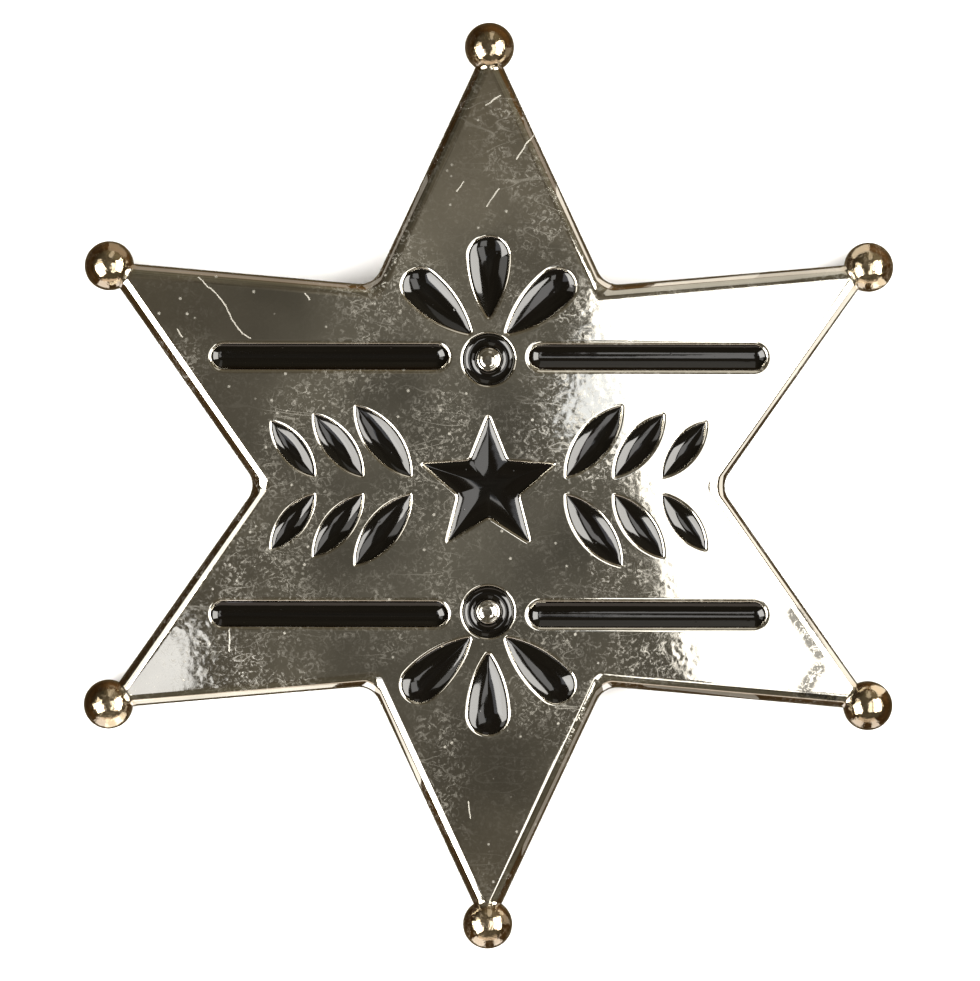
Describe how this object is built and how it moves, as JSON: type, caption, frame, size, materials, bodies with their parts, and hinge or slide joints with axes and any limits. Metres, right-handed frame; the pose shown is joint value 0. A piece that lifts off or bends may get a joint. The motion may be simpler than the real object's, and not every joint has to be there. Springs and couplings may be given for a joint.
{
  "type": "sheriff star badge",
  "caption": "Domed cast star badge with ball tips, sunk black enamel bars, petals, rings, a star and laurel leaves, and a plain pin clasp across its back.",
  "frame": {"origin": "middle of the badge in plan, on the surface that it lies on", "axes": "+Z out of the badge's face, +Y towards its upper arm, +X to its right as it is read"},
  "size_m": [0.0654, 0.075, 0.0059],
  "materials": {
    "plated_casting": "nickel-plated zinc casting, bright, worn and finely scratched",
    "enamel": "black epoxy enamel, glossy, poured into the sunk cells",
    "pin_steel": "nickel-plated steel, satin"
  },
  "bodies": {
    "root": {"star_body": "plated_casting", "pin_clasp": "pin_steel", "bar_upper_left": "enamel", "bar_upper_right": "enamel", "bar_lower_left": "enamel", "bar_lower_right": "enamel", "ring_upper": "enamel", "ring_lower": "enamel", "petal_upper_middle": "enamel", "petal_upper_left": "enamel", "petal_upper_right": "enamel", "petal_lower_middle": "enamel", "petal_lower_left": "enamel", "petal_lower_right": "enamel", "centre_star": "enamel", "leaf_upper_left_1": "enamel", "leaf_upper_left_2": "enamel", "leaf_upper_left_3": "enamel", "leaf_lower_left_1": "enamel", "leaf_lower_left_2": "enamel", "leaf_lower_left_3": "enamel", "leaf_upper_right_1": "enamel", "leaf_upper_right_2": "enamel", "leaf_upper_right_3": "enamel", "leaf_lower_right_1": "enamel", "leaf_lower_right_2": "enamel", "leaf_lower_right_3": "enamel"}
  },
  "joints": []
}
